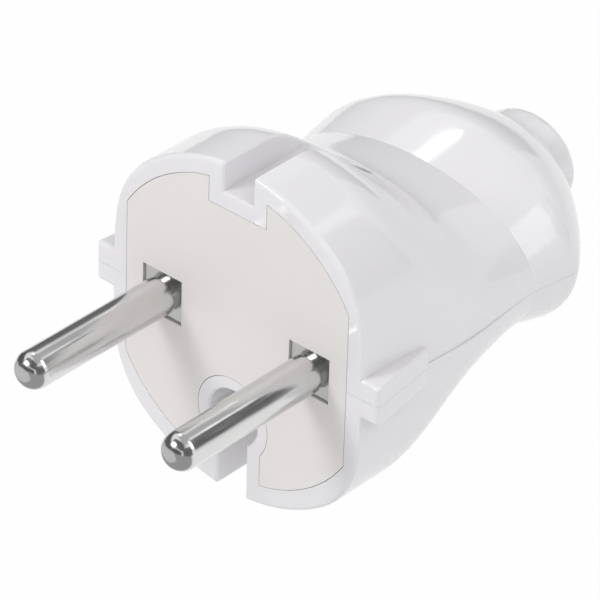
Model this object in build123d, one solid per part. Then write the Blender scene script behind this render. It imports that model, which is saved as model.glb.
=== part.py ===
"""Rewireable two-pin plug: two half shells, a pin carrier plate, pins, terminals and a cord clamp.

Frame: the origin is the centre of the engagement face, midway between the pins.
+X runs from the left pin to the right pin, +Y back towards the cord, +Z up. Millimetres.
"""
import os
from math import cos, exp, log, pi, sin

from build123d import *

# Pins
pin_spacing = 19.0
pin_d = 4.0
pin_reach = 19.4
pin_tip_r = 1.7
pin_neck_d = 3.5
pin_neck_len = 0.7
shank_w = 5.0
shank_recess = 0.25
shank_len = 14.5
shank_bevel = 0.3
wire_hole_d = 2.8
wire_hole_len = 7.5
lock_notch = 0.6

# Engagement face and rim
face_r_upper = 18.5
face_r_lower = 18.9
face_flat = 16.35
flank_lean = 0.02
flank_bow = 0.006
rim_edge_r = 0.45
slot_bevel = 0.2
plate_r = 16.6
plate_flat = 14.2
plate_t = 3.2
plate_lip = 1.5
plate_flange = 0.7
plate_gap = 0.06

# Clip notch at the top of the face and keyhole for a socket's earth pin at the bottom
notch_w = 3.8
notch_floor = 15.2
notch_wall = 1.75
keyhole_z = 10.0
keyhole_r = 3.1
keyhole_slot_w = 3.7
keyhole_wall = 1.4
keyhole_depth = 14.5

# Housing outline along the plug
shoulder_y_upper = 6.0
shoulder_y_lower = 7.0
waist_y_upper = 20.0
waist_y_lower = 18.0
waist_h_upper = 9.75
waist_h_lower = 11.4
crease_y = 25.5
crease_w = 16.2
crease_h_upper = 8.65
crease_h_lower = 9.4
crest_w = 17.0
crest_w_y = 31.1
crest_h_upper = 10.45
crest_h_upper_y = 32.3
crest_h_lower = 12.1
crest_h_lower_y = 34.4
crest_fold = 0.25
back_y = 42.5
back_w = 5.5
back_h_upper = 4.5
back_h_lower = 5.4
dome_w = 1.15
dome_h_upper = 0.85
dome_h_lower = 0.75
nub_w = 5.95
nub_h = 5.3
nub_end_y = 44.9
nub_edge_r = 1.5
wall = 1.9
cavity_end_y = 38.0
cord_hole_d = 7.0
seam_gap = 0.015

# Guide ribs on both sides of the face
rib_front = 18.3
rib_rear = 17.2
rib_len = 8.3
rib_h = 4.4
rib_edge_r = 0.3

# Pin cradles inside the shells
cradle_t = 1.4
cradle_front_y = 4.8
cradle_rear_y = 12.2
cradle_w = 8.0
fit_gap = 0.06

# Screws
terminal_y = 9.1
terminal_d = 3.0
terminal_len = 3.1
case_screw_y = 17.0
case_screw_d = 2.0
case_hole_d = 2.3
case_seat_z = 5.5
case_screw_len = 13.5
case_head_d = 2.8
case_recess_d = 3.1
case_recess_bevel = 0.2
case_boss_d = 6.0
head_d = 4.4
head_h = 1.7
slot_w = 0.8
slot_depth = 0.9
head_bevel = 0.25
tip_bevel = 0.3
thread_gap = 0.02

# Cord clamp
clamp_y = 30.5
clamp_len = 5.0
clamp_spacing = 13.2
clamp_t = 2.2
clamp_seat_z = -0.6
clamp_bore_r = 2.9
clamp_band = 1.7
clamp_screw_d = 2.4
clamp_screw_len = 6.2
clamp_tip_room = 0.3
clamp_boss_d = 5.2

# Locating pegs between the shells
peg_d = 2.2
peg_len = 2.0
peg_x = 12.2
peg_y = 21.5
peg_boss_d = 5.0

# Cutters reach far outside, and cuts and roots run on by the overlap
far = 60.0
overlap = 1.0
seat_overlap = 0.1

# Sections and points of the lofted housing
body_steps = 15
hollow_steps = 8
outline_steps = 12
skirt_steps = 2
run_on_steps = 2
corner_power = 14


def ease(t):
    """Smooth step from 0 to 1."""
    t = min(max(t, 0.0), 1.0)
    return t * t * (3.0 - 2.0 * t)


def mix(a, b, t):
    return a + (b - a) * t


def pick(side, upper, lower):
    return upper if side > 0 else lower


def rear_profile(y, crease, crest, crest_y, back, dome):
    """Straight rise from the crease to the crest, a fold there and a domed fall to the back."""
    rise = mix(crease, crest, (y - crease_y) / (crest_y - crease_y))
    t = (y - crest_y) / (back_y - crest_y)
    fall = mix(crest, back, t) + 4.0 * dome * t * (1.0 - t)
    return -crest_fold * log(exp(-rise / crest_fold) + exp(-fall / crest_fold))


def rear_half_width(y, side):
    return rear_profile(y, crease_w, crest_w, crest_w_y, back_w, dome_w)


def rear_half_height(y, side):
    if side > 0:
        return rear_profile(y, crease_h_upper, crest_h_upper, crest_h_upper_y, back_h_upper, dome_h_upper)
    return rear_profile(y, crease_h_lower, crest_h_lower, crest_h_lower_y, back_h_lower, dome_h_lower)


def front_half_width(y, side):
    face_r = pick(side, face_r_upper, face_r_lower)
    shoulder_y = pick(side, shoulder_y_upper, shoulder_y_lower)
    return mix(face_r, crease_w, ease((y - shoulder_y) / (crease_y - shoulder_y)))


def front_half_height(y, side):
    """Straight block at the face, an eased fall from the shoulder to the waist and a straight taper."""
    face_r = pick(side, face_r_upper, face_r_lower)
    shoulder_y = pick(side, shoulder_y_upper, shoulder_y_lower)
    waist_y = pick(side, waist_y_upper, waist_y_lower)
    waist_h = pick(side, waist_h_upper, waist_h_lower)
    crease_h = pick(side, crease_h_upper, crease_h_lower)
    taper = (crease_h - waist_h) / (crease_y - waist_y)
    if y >= waist_y:
        return waist_h + taper * (y - waist_y)
    fall_len = waist_y - shoulder_y
    t = max((y - shoulder_y) / fall_len, 0.0)
    return mix(face_r, waist_h, ease(t)) - taper * fall_len * t * t * (1.0 - t)


def flat_half_width(y):
    y = max(y, 0.0)
    return face_flat + flank_lean * y + flank_bow * y * y


def half_outline(y, side, half_w, half_h, flat):
    """Half of the housing's outline at depth y, above (side 1) or below (side -1) the parting plane.

    It runs on a little past the parting plane, to be cut off there.
    """
    points = []
    steps = range(-skirt_steps, outline_steps + skirt_steps + 1)
    for i in steps:
        angle = pi * i / outline_steps
        oval = ((cos(angle) / half_w) ** 2 + (sin(angle) / half_h) ** 2) ** 0.5
        flank = abs(cos(angle)) / flat
        radius = (oval ** corner_power + flank ** corner_power) ** (-1.0 / corner_power)
        points.append(Vector(radius * cos(angle), y, side * radius * sin(angle)))
    arch = Edge.make_spline(points, parameters=list(steps))
    return Face(Wire([arch, Edge.make_line(points[-1], points[0])]))


def run_on_loft(start, end, side, steps, width, height, inset):
    """Half of the housing between two depths, run on past both to keep its form true there."""
    pitch = (end - start) / steps
    outlines = []
    for i in range(-run_on_steps, steps + run_on_steps + 1):
        y = start + pitch * i
        flat = flat_half_width(y) - inset
        outlines.append(half_outline(y, side, width(y, side) - inset, height(y, side) - inset, flat))
    return loft(outlines)


def half_body(start, end, side, steps, inset=0.0):
    """Half of the housing: a front and a rear form that cut into each other in the crease."""
    front = run_on_loft(start, crease_y, side, steps, front_half_width, front_half_height, inset)
    rear = run_on_loft(crease_y, end, side, steps, rear_half_width, rear_half_height, inset)
    return (front + rear) & block(-far, far, start, end, -far, far)


def across(sketch, y0, y1):
    """A sketch in the face plane, swept from depth y0 to depth y1."""
    return extrude(Plane.XZ.offset(-y0) * sketch, -(y1 - y0))


def block(x0, x1, y0, y1, z0, z1):
    middle = Pos((x0 + x1) / 2.0, (y0 + y1) / 2.0, (z0 + z1) / 2.0)
    return middle * Box(x1 - x0, y1 - y0, z1 - z0)


def post(x, y, z0, z1, d):
    return Pos(x, y, (z0 + z1) / 2.0) * Cylinder(d / 2.0, z1 - z0)


def rod(x, z, y0, y1, d):
    return Pos(x, (y0 + y1) / 2.0, z) * Rot(90, 0, 0) * Cylinder(d / 2.0, y1 - y0)


def notch_shape(half_w, floor):
    return Pos(0, (floor + far) / 2.0) * Rectangle(2.0 * half_w, far - floor)


def keyhole_shape(radius, half_w):
    slot = Pos(0, -(keyhole_z + far) / 2.0) * Rectangle(2.0 * half_w, far - keyhole_z)
    return Pos(0, -keyhole_z) * Circle(radius) + slot


def plate_shape(grow):
    disc = Circle(plate_r + grow)
    return disc & Rectangle(2.0 * (plate_flat + grow), far)


def rim_lips(shrink):
    """Parts of the face that stay with the shells around the notch and the keyhole."""
    top = notch_shape(notch_w / 2.0 + notch_wall - shrink, notch_floor - notch_wall + shrink)
    bottom = keyhole_shape(keyhole_r + keyhole_wall - shrink, keyhole_slot_w / 2.0 + notch_wall - shrink)
    return top + bottom


def slotted_screw(d, length, top_d):
    """Cheese-head screw, seat at the origin, shank down."""
    head = Pos(0, 0, head_h / 2.0) * Cylinder(top_d / 2.0, head_h)
    head = chamfer(head.edges().group_by(Axis.Z)[-1], head_bevel)
    shank = Pos(0, 0, -length / 2.0) * Cylinder(d / 2.0, length)
    shank = chamfer(shank.edges().group_by(Axis.Z)[0], tip_bevel)
    slot = Pos(0, 0, head_h) * Box(2.0 * top_d, slot_w, 2.0 * slot_depth)
    return head + shank - slot


rib_profile = make_face(Polyline(
    [(0, 0), (rib_front, 0), (rib_rear, rib_len), (0, rib_len)], close=True))
rib = Pos(0, 0, -rib_h / 2.0) * extrude(rib_profile, rib_h)
rib_flank = rib.faces().sort_by(Axis.X)[-1]
rib = fillet(rib_flank.edges().filter_by(Axis.Z, reverse=True), rib_edge_r)
ribs = rib + mirror(rib, Plane.YZ)
nub = across(Ellipse(nub_w, nub_h), back_y - overlap, nub_end_y)
nub = fillet(nub.faces().sort_by(Axis.Y)[-1].edges(), nub_edge_r)

opening = across(plate_shape(plate_gap) - rim_lips(0), -overlap, plate_t + seat_overlap)
flange_seat = across(plate_shape(plate_flange + plate_gap) - rim_lips(0), plate_lip, plate_t)
cord_hole = rod(0, 0, cavity_end_y - overlap, nub_end_y + overlap, cord_hole_d)

notch_web = across(notch_shape(notch_w / 2.0 + notch_wall, notch_floor - notch_wall), plate_t, crease_y)
keyhole_web = across(
    keyhole_shape(keyhole_r + keyhole_wall, keyhole_slot_w / 2.0 + notch_wall),
    plate_t, keyhole_depth + wall)
notch_cut = across(notch_shape(notch_w / 2.0, notch_floor), -overlap, crease_y)
keyhole_cut = across(keyhole_shape(keyhole_r, keyhole_slot_w / 2.0), -overlap, keyhole_depth)

# Inner structure, left standing when the cavity is cut
pin_x = pin_spacing / 2.0
half_shank = shank_w / 2.0
clamp_x = clamp_spacing / 2.0
standing = [notch_web, keyhole_web, post(0, case_screw_y, -far, far, case_boss_d)]
for side in (-1, 1):
    x = side * pin_x
    slot_half = half_shank + fit_gap
    pin_slot = block(x - slot_half, x + slot_half, 0, far, -half_shank, half_shank)
    for y in (cradle_front_y, cradle_rear_y):
        cradle = block(x - cradle_w / 2.0, x + cradle_w / 2.0, y, y + cradle_t, -far, far)
        standing.append(cradle - pin_slot)
    standing.append(block(
        x - slot_half, x + slot_half, cradle_front_y, cradle_front_y + cradle_t,
        -far, -half_shank + lock_notch))
    standing.append(post(side * peg_x, peg_y, -far, far, peg_boss_d))
    standing.append(post(side * clamp_x, clamp_y, -far, clamp_seat_z, clamp_boss_d))
saddle = block(
    -clamp_bore_r - clamp_band, clamp_bore_r + clamp_band,
    clamp_y - clamp_len / 2.0, clamp_y + clamp_len / 2.0, -far, clamp_seat_z)
standing.append(saddle - rod(0, clamp_seat_z, 0, far, 2.0 * clamp_bore_r))

# The shells meet on the screw boss and keep a hair gap along the rest of the parting plane
parting = block(-far, far, -far, far, -seam_gap / 2.0, seam_gap / 2.0)
parting -= post(0, case_screw_y, -overlap, overlap, case_boss_d)


def beside_slot(edge, side):
    middle = edge.center()
    return abs(middle.X) < keyhole_r and side * middle.Z > keyhole_r


def half_shell(side):
    half = block(-far, far, -far, far, min(0, side * far), max(0, side * far))
    outside = (half_body(0, back_y, side, body_steps) + ribs + nub) & half
    front_edges = outside.faces().sort_by(Axis.Y)[0].edges()
    outside = fillet([edge for edge in front_edges if side * edge.center().Z > seam_gap], rim_edge_r)
    outside -= pick(side, notch_cut, keyhole_cut)
    slot_edges = [edge for edge in outside.faces().sort_by(Axis.Y)[0].edges() if beside_slot(edge, side)]
    outside = chamfer(slot_edges, slot_bevel)
    hollow = half_body(plate_t, cavity_end_y, side, hollow_steps, wall)
    for piece in standing:
        hollow -= piece
    shell = outside - hollow
    for cut in (opening, flange_seat, cord_hole, parting):
        shell -= cut
    return shell


upper_shell = half_shell(1)
upper_shell -= post(0, case_screw_y, -overlap, far, case_hole_d)
recess = post(0, case_screw_y, case_seat_z, far, case_recess_d)
recessed_shell = upper_shell - recess
recess_mouth = new_edges(upper_shell, recess, combined=recessed_shell).group_by(Axis.Z)[-1]
upper_shell = chamfer(recess_mouth, case_recess_bevel)

lower_shell = half_shell(-1)
lower_shell -= post(
    0, case_screw_y, case_seat_z - case_screw_len - thread_gap, far, case_screw_d + 2.0 * thread_gap)
for side in (-1, 1):
    lower_shell -= post(
        side * clamp_x, clamp_y, clamp_seat_z - clamp_screw_len, far, clamp_screw_d + 2.0 * thread_gap)
    lower_shell += post(side * peg_x, peg_y, -overlap, peg_len, peg_d)
    upper_shell -= post(side * peg_x, peg_y, -overlap, peg_len + fit_gap, peg_d + 2.0 * fit_gap)

# Plate that carries the pins
plate_outline = plate_shape(0) - rim_lips(-plate_gap)
flange_outline = plate_shape(plate_flange) - rim_lips(-plate_gap)
face_plate = across(plate_outline, 0, plate_t) + across(flange_outline, plate_lip, plate_t)
for side in (-1, 1):
    x = side * pin_x
    hole = half_shank + fit_gap
    face_plate -= block(x - hole, x + hole, -overlap, far, -hole, hole)


def pin(x):
    """Turned pin on a square shank with a wire hole and a tapped hole."""
    shank = block(-half_shank, half_shank, shank_recess, shank_len, -half_shank, half_shank)
    shank = chamfer(shank.faces().sort_by(Axis.Y)[-1].edges(), shank_bevel)
    neck = rod(0, 0, shank_recess - pin_neck_len, shank_recess, pin_neck_d)
    shaft = rod(0, 0, -pin_reach, shank_recess - pin_neck_len, pin_d)
    shaft = fillet(shaft.edges().group_by(Axis.Y)[0], pin_tip_r)
    solid = shank + neck + shaft
    solid -= rod(0, 0, shank_len - wire_hole_len, far, wire_hole_d)
    solid -= post(0, terminal_y, half_shank - terminal_len - fit_gap, far, terminal_d + 2.0 * thread_gap)
    solid -= block(
        -shank_w, shank_w, cradle_front_y - fit_gap, cradle_front_y + cradle_t + fit_gap,
        -shank_w, -half_shank + lock_notch)
    return Pos(x, 0, 0) * solid


terminal_screw = slotted_screw(terminal_d, terminal_len, head_d)
case_screw = Pos(0, case_screw_y, case_seat_z) * slotted_screw(case_screw_d, case_screw_len, case_head_d)
clamp_screw = slotted_screw(clamp_screw_d, clamp_t + clamp_screw_len - clamp_tip_room, head_d)

# Strap over the cord
ears = block(
    -clamp_x, clamp_x, clamp_y - clamp_len / 2.0, clamp_y + clamp_len / 2.0,
    clamp_seat_z, clamp_seat_z + clamp_t)
hump = rod(0, clamp_seat_z, clamp_y - clamp_len / 2.0, clamp_y + clamp_len / 2.0,
           2.0 * (clamp_bore_r + clamp_band))
cord_clamp = ears + (hump & block(-far, far, -far, far, clamp_seat_z, far))
for side in (-1, 1):
    cord_clamp += post(
        side * clamp_x, clamp_y, clamp_seat_z, clamp_seat_z + clamp_t, clamp_len)
cord_clamp -= rod(0, clamp_seat_z, 0, far, 2.0 * clamp_bore_r)
for side in (-1, 1):
    cord_clamp -= post(
        side * clamp_x, clamp_y, -far, far, clamp_screw_d + 2.0 * fit_gap)

clamp_top = clamp_seat_z + clamp_t
nodes = {
    "upper_shell": upper_shell,
    "lower_shell": lower_shell,
    "face_plate": face_plate,
    "left_pin": pin(-pin_x),
    "right_pin": pin(pin_x),
    "left_terminal_screw": Pos(-pin_x, terminal_y, half_shank) * terminal_screw,
    "right_terminal_screw": Pos(pin_x, terminal_y, half_shank) * terminal_screw,
    "case_screw": case_screw,
    "cord_clamp": cord_clamp,
    "left_clamp_screw": Pos(-clamp_x, clamp_y, clamp_top) * clamp_screw,
    "right_clamp_screw": Pos(clamp_x, clamp_y, clamp_top) * clamp_screw,
}

os.makedirs("parts", exist_ok=True)
for name, solid in nodes.items():
    export_step(solid, f"parts/{name}.step")
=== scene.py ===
"""Studio picture of a two-pin plug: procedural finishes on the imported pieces, soft light and a pale floor.

All places are in metres in the plug's own frame: the origin is the centre of the engagement face,
+X runs to the right pin, +Y back towards the cord inlet and +Z up.
"""
from math import cos, radians, sin

import bpy
from mathutils import Matrix, Vector


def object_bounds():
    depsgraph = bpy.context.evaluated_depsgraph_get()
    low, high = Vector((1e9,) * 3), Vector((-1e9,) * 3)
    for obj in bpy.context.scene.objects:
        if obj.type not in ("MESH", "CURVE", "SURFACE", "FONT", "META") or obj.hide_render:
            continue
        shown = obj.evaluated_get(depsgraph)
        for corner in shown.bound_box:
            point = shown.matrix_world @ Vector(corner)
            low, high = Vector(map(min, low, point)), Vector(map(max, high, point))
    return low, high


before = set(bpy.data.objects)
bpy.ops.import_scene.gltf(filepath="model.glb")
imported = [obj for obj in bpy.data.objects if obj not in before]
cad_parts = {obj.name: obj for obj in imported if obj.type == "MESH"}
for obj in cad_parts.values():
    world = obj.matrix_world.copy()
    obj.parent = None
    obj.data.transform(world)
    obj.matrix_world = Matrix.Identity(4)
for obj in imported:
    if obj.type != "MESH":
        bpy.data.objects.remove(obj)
cad_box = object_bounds()

# Camera, solved from the photograph
CAMERA_AZIMUTH = radians(40.794)
CAMERA_ELEVATION = radians(33.917)
CAMERA_ROLL = radians(1.897)
CAMERA_DISTANCE = 0.5
CAMERA_SIDE = 0.006264
CAMERA_RISE = 0.003133
FOCAL_PIXELS = 5227.3
IMAGE_PIXELS = 600.0
SENSOR_MM = 36.0

# Studio
FLOOR_Z = cad_box[0][2] - 0.06
FLOOR_SIZE = 6.0
FLOOR_WHITE_SHARE = 0.96
FLOOR_GREY = (0.83, 0.83, 0.83, 1.0)
CARD_LIFT = 0.0003
WORLD_FILL = 0.65
AIM = Vector((0.0, 0.012, 0.0))

# Finishes
HOUSING_WHITE = (0.80, 0.787, 0.808)
HOUSING_SHADE = (0.775, 0.762, 0.783)
PLATE_GREY = (0.785, 0.752, 0.742)
PLATE_SHADE = (0.75, 0.717, 0.707)
NICKEL = (0.74, 0.74, 0.735)
NICKEL_STAIN_SHARE = 0.93
STEEL = (0.55, 0.55, 0.56)
STEEL_PATCH_SHARE = 0.8


def build_material(name):
    """An empty node material: returns it with its nodes, links and principled shader."""
    material = bpy.data.materials.new(name)
    material.use_nodes = True
    nodes = material.node_tree.nodes
    return material, nodes, material.node_tree.links, nodes["Principled BSDF"]


def noise(nodes, links, scale, detail=2.0, stretch=(1.0, 1.0, 1.0)):
    """Noise in the plug's own coordinates; scale counts features to the metre."""
    place = nodes.new("ShaderNodeTexCoord")
    mapping = nodes.new("ShaderNodeMapping")
    mapping.inputs["Scale"].default_value = stretch
    texture = nodes.new("ShaderNodeTexNoise")
    texture.inputs["Scale"].default_value = scale
    texture.inputs["Detail"].default_value = detail
    links.new(place.outputs["Object"], mapping.inputs["Vector"])
    links.new(mapping.outputs["Vector"], texture.inputs["Vector"])
    return texture.outputs["Fac"]


def ramp(nodes, links, value, low, high):
    """A value from 0 to 1 spread over low to high."""
    spread = nodes.new("ShaderNodeMapRange")
    spread.inputs["From Min"].default_value = 0.3
    spread.inputs["From Max"].default_value = 0.7
    spread.inputs["To Min"].default_value = low
    spread.inputs["To Max"].default_value = high
    links.new(value, spread.inputs["Value"])
    return spread.outputs["Result"]


def tint(nodes, links, value, low, high):
    """A colour between two tones."""
    blend = nodes.new("ShaderNodeMix")
    blend.data_type = "RGBA"
    blend.inputs["A"].default_value = (*low, 1.0)
    blend.inputs["B"].default_value = (*high, 1.0)
    links.new(value, blend.inputs["Factor"])
    return blend.outputs["Result"]


def add_bump(nodes, links, shader, height, depth, under=None):
    """Relief of that depth in metres, over an earlier relief."""
    bump = nodes.new("ShaderNodeBump")
    bump.inputs["Strength"].default_value = 1.0
    bump.inputs["Distance"].default_value = depth
    links.new(height, bump.inputs["Height"])
    if under is not None:
        links.new(under, bump.inputs["Normal"])
    links.new(bump.outputs["Normal"], shader.inputs["Normal"])
    return bump.outputs["Normal"]


def housing_plastic():
    """Glossy white moulding, with faint sink waves and a slightly uneven gloss."""
    material, nodes, links, shader = build_material("housing_plastic")
    patches = noise(nodes, links, 60.0)
    links.new(tint(nodes, links, patches, HOUSING_SHADE, HOUSING_WHITE), shader.inputs["Base Color"])
    gloss = noise(nodes, links, 350.0, detail=4.0)
    links.new(ramp(nodes, links, gloss, 0.08, 0.12), shader.inputs["Roughness"])
    waves = add_bump(nodes, links, shader, noise(nodes, links, 120.0, detail=0.0), 0.00002)
    add_bump(nodes, links, shader, noise(nodes, links, 2500.0), 0.0000008, under=waves)
    shader.inputs["IOR"].default_value = 1.5
    shader.inputs["Subsurface Weight"].default_value = 0.12
    shader.inputs["Subsurface Radius"].default_value = (1.0, 0.9, 0.8)
    shader.inputs["Subsurface Scale"].default_value = 0.0008
    return material


def plate_plastic():
    """Satin warm grey moulding with a fine eroded grain."""
    material, nodes, links, shader = build_material("plate_plastic")
    patches = noise(nodes, links, 130.0, detail=5.0)
    links.new(tint(nodes, links, patches, PLATE_SHADE, PLATE_GREY), shader.inputs["Base Color"])
    gloss = noise(nodes, links, 900.0, detail=4.0)
    links.new(ramp(nodes, links, gloss, 0.42, 0.52), shader.inputs["Roughness"])
    grain = noise(nodes, links, 5000.0, detail=3.0)
    add_bump(nodes, links, shader, grain, 0.000004)
    return material


def pin_nickel():
    """Polished nickel with turning marks round the pin and fine scratches along it."""
    material, nodes, links, shader = build_material("pin_nickel")
    shader.inputs["Metallic"].default_value = 1.0
    stains = noise(nodes, links, 300.0, detail=4.0)
    darker = tuple(NICKEL_STAIN_SHARE * tone for tone in NICKEL)
    links.new(tint(nodes, links, stains, darker, NICKEL), shader.inputs["Base Color"])
    scratches = noise(nodes, links, 4000.0, stretch=(1.0, 0.04, 1.0))
    links.new(ramp(nodes, links, scratches, 0.13, 0.25), shader.inputs["Roughness"])
    turning = noise(nodes, links, 3000.0, stretch=(0.02, 1.0, 0.02))
    rings = add_bump(nodes, links, shader, turning, 0.0000015)
    add_bump(nodes, links, shader, scratches, 0.0000025, under=rings)
    return material


def screw_steel():
    """Zinc plated steel with a dull, slightly patchy shine."""
    material, nodes, links, shader = build_material("screw_steel")
    shader.inputs["Metallic"].default_value = 1.0
    patches = noise(nodes, links, 1500.0, detail=4.0)
    darker = tuple(STEEL_PATCH_SHARE * tone for tone in STEEL)
    links.new(tint(nodes, links, patches, darker, STEEL), shader.inputs["Base Color"])
    links.new(ramp(nodes, links, patches, 0.28, 0.42), shader.inputs["Roughness"])
    add_bump(nodes, links, shader, noise(nodes, links, 6000.0), 0.000003)
    return material


def dress(node, material):
    """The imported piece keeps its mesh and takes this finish."""
    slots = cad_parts[node].material_slots
    for slot in slots:
        slot.material = material


def direct_rays(nodes, links):
    """One for rays from the camera, from reflections and through clear things, nought for the rest."""
    rays = nodes.new("ShaderNodeLightPath")
    direct = rays.outputs["Is Camera Ray"]
    for kind in ("Is Glossy Ray", "Is Transmission Ray"):
        either = nodes.new("ShaderNodeMath")
        either.operation = "MAXIMUM"
        links.new(direct, either.inputs[0])
        links.new(rays.outputs[kind], either.inputs[1])
        direct = either.outputs["Value"]
    return direct


def pale_floor():
    """White floor well below the plug, which is held by its pins and doesn't stand."""
    bpy.ops.mesh.primitive_plane_add(size=FLOOR_SIZE, location=(0.0, 0.0, FLOOR_Z))
    floor = bpy.context.object
    floor.name = "floor"
    material, nodes, links, shader = build_material("floor_white")
    shader.inputs["Base Color"].default_value = FLOOR_GREY
    shader.inputs["Roughness"].default_value = 0.9
    shader.inputs["Specular IOR Level"].default_value = 0.0
    share = nodes.new("ShaderNodeMath")
    share.operation = "MULTIPLY"
    share.inputs[1].default_value = FLOOR_WHITE_SHARE
    links.new(direct_rays(nodes, links), share.inputs[0])
    white = nodes.new("ShaderNodeEmission")
    blend = nodes.new("ShaderNodeMixShader")
    links.new(share.outputs["Value"], blend.inputs["Fac"])
    links.new(shader.outputs["BSDF"], blend.inputs[1])
    links.new(white.outputs["Emission"], blend.inputs[2])
    links.new(blend.outputs["Shader"], nodes["Material Output"].inputs["Surface"])
    floor.data.materials.append(material)


def white_world():
    """White to the camera and in reflections, and a softer fill light on the plug."""
    world = bpy.data.worlds.new("studio")
    bpy.context.scene.world = world
    world.use_nodes = True
    nodes = world.node_tree.nodes
    links = world.node_tree.links
    strength = nodes.new("ShaderNodeMapRange")
    strength.inputs["To Min"].default_value = WORLD_FILL
    strength.inputs["To Max"].default_value = 1.0
    links.new(direct_rays(nodes, links), strength.inputs["Value"])
    links.new(strength.outputs["Result"], nodes["Background"].inputs["Strength"])
    nodes["Background"].inputs["Color"].default_value = (1.0, 1.0, 1.0, 1.0)


def aimed(location, target):
    """Placement of something that looks from a place at a target."""
    turn = (Vector(target) - Vector(location)).to_track_quat("-Z", "Y")
    return Matrix.Translation(location) @ turn.to_matrix().to_4x4()


def softbox(name, location, width, height, watts, roll=0.0, reflected=True):
    """A soft lamp aimed at the plug, with or without its own reflection."""
    lamp = bpy.data.lights.new(name, "AREA")
    lamp.shape = "RECTANGLE"
    lamp.size = width
    lamp.size_y = height
    lamp.energy = watts
    holder = bpy.data.objects.new(name, lamp)
    holder.matrix_world = aimed(location, AIM) @ Matrix.Rotation(roll, 4, "Z")
    holder.visible_glossy = reflected
    bpy.context.scene.collection.objects.link(holder)


def reflected_card(name, location, width, height, tone):
    """A plain studio card, aimed at the plug, that only shows in reflections."""
    bpy.ops.mesh.primitive_plane_add(size=1.0)
    card = bpy.context.object
    card.name = name
    card.matrix_world = aimed(location, AIM) @ Matrix.Diagonal((width, height, 1.0, 1.0))
    card.visible_camera = False
    card.visible_diffuse = False
    card.visible_shadow = False
    material, nodes, links, _ = build_material(name)
    flat = nodes.new("ShaderNodeEmission")
    flat.inputs["Color"].default_value = (tone, tone, tone, 1.0)
    links.new(flat.outputs["Emission"], nodes["Material Output"].inputs["Surface"])
    card.data.materials.append(material)


def photo_camera():
    """Camera at the photograph's angle: orbit, then a roll, then a small slide across the view."""
    back = Vector((
        sin(CAMERA_AZIMUTH) * cos(CAMERA_ELEVATION),
        -cos(CAMERA_AZIMUTH) * cos(CAMERA_ELEVATION),
        sin(CAMERA_ELEVATION)))
    level = Vector((cos(CAMERA_AZIMUTH), sin(CAMERA_AZIMUTH), 0.0))
    rise = back.cross(level)
    right = cos(CAMERA_ROLL) * level + sin(CAMERA_ROLL) * rise
    up = cos(CAMERA_ROLL) * rise - sin(CAMERA_ROLL) * level
    place = CAMERA_DISTANCE * back + CAMERA_SIDE * right + CAMERA_RISE * up
    lens = bpy.data.cameras.new("camera")
    lens.sensor_width = SENSOR_MM
    lens.lens = FOCAL_PIXELS * SENSOR_MM / IMAGE_PIXELS
    lens.clip_start = 0.01
    holder = bpy.data.objects.new("camera", lens)
    turn = Matrix((right, up, back)).transposed().to_4x4()
    holder.matrix_world = Matrix.Translation(place) @ turn
    bpy.context.scene.collection.objects.link(holder)
    bpy.context.scene.camera = holder


bpy.context.scene.view_settings.view_transform = "Standard"

finishes = {
    housing_plastic(): ("upper_shell", "lower_shell", "cord_clamp"),
    plate_plastic(): ("face_plate",),
    pin_nickel(): ("left_pin", "right_pin"),
    screw_steel(): (
        "left_terminal_screw", "right_terminal_screw", "case_screw",
        "left_clamp_screw", "right_clamp_screw"),
}
for finish, members in finishes.items():
    for member in members:
        dress(member, finish)

pale_floor()
white_world()

# Lamps: the key and the fill light the plug, the others make the highlights on the flare and the pins
softbox("key", (-0.28, -0.56, 0.46), 0.26, 0.26, 2.1)
softbox("side_fill", (0.5, -0.16, 0.58), 0.4, 0.4, 1.0, reflected=False)
softbox("rear_spot", (-0.28, 0.2, 0.49), 0.09, 0.025, 0.075, roll=-0.67)
softbox("rear_strip", (0.4, 0.21, 0.4), 0.1, 0.4, 0.3, roll=-0.31)
softbox("pin_streak", (0.138, 0.378, 0.456), 0.05, 0.08, 0.013)

# Cards that the gloss and the pins mirror: the dark room behind and in front, and a paler one low down
reflected_card("flag_back_left", (-0.3, 0.37, 0.17), 0.5, 0.4, 0.16)
reflected_card("flag_back_right", (0.4, 0.43, 0.26), 0.34, 0.42, 0.1)
reflected_card("flag_pin_streak", (0.25, 0.38, 0.4), 0.12, 0.14, 0.03)
reflected_card("flag_back", (0.15, 0.75, 0.1), 1.6, 0.5, 0.8)
reflected_card("flag_front", (-0.1, -0.75, 0.05), 1.3, 0.6, 0.08)
reflected_card("flag_front_top", (0.0, -0.65, 0.85), 1.6, 0.9, 0.12)
reflected_card("flag_top", (0.1, 0.25, 0.95), 1.2, 0.9, 0.5)
reflected_card("flag_left", (-0.6, -0.1, 0.1), 0.8, 0.6, 0.1)
reflected_card("flag_right", (0.65, -0.2, 0.2), 0.8, 0.7, 0.15)
reflected_card("flag_below", (0.0, 0.0, FLOOR_Z + CARD_LIFT), 1.4, 1.4, 0.38)
reflected_card("bounce_low", (-0.06, -0.07, -0.045), 0.16, 0.09, 0.66)

photo_camera()
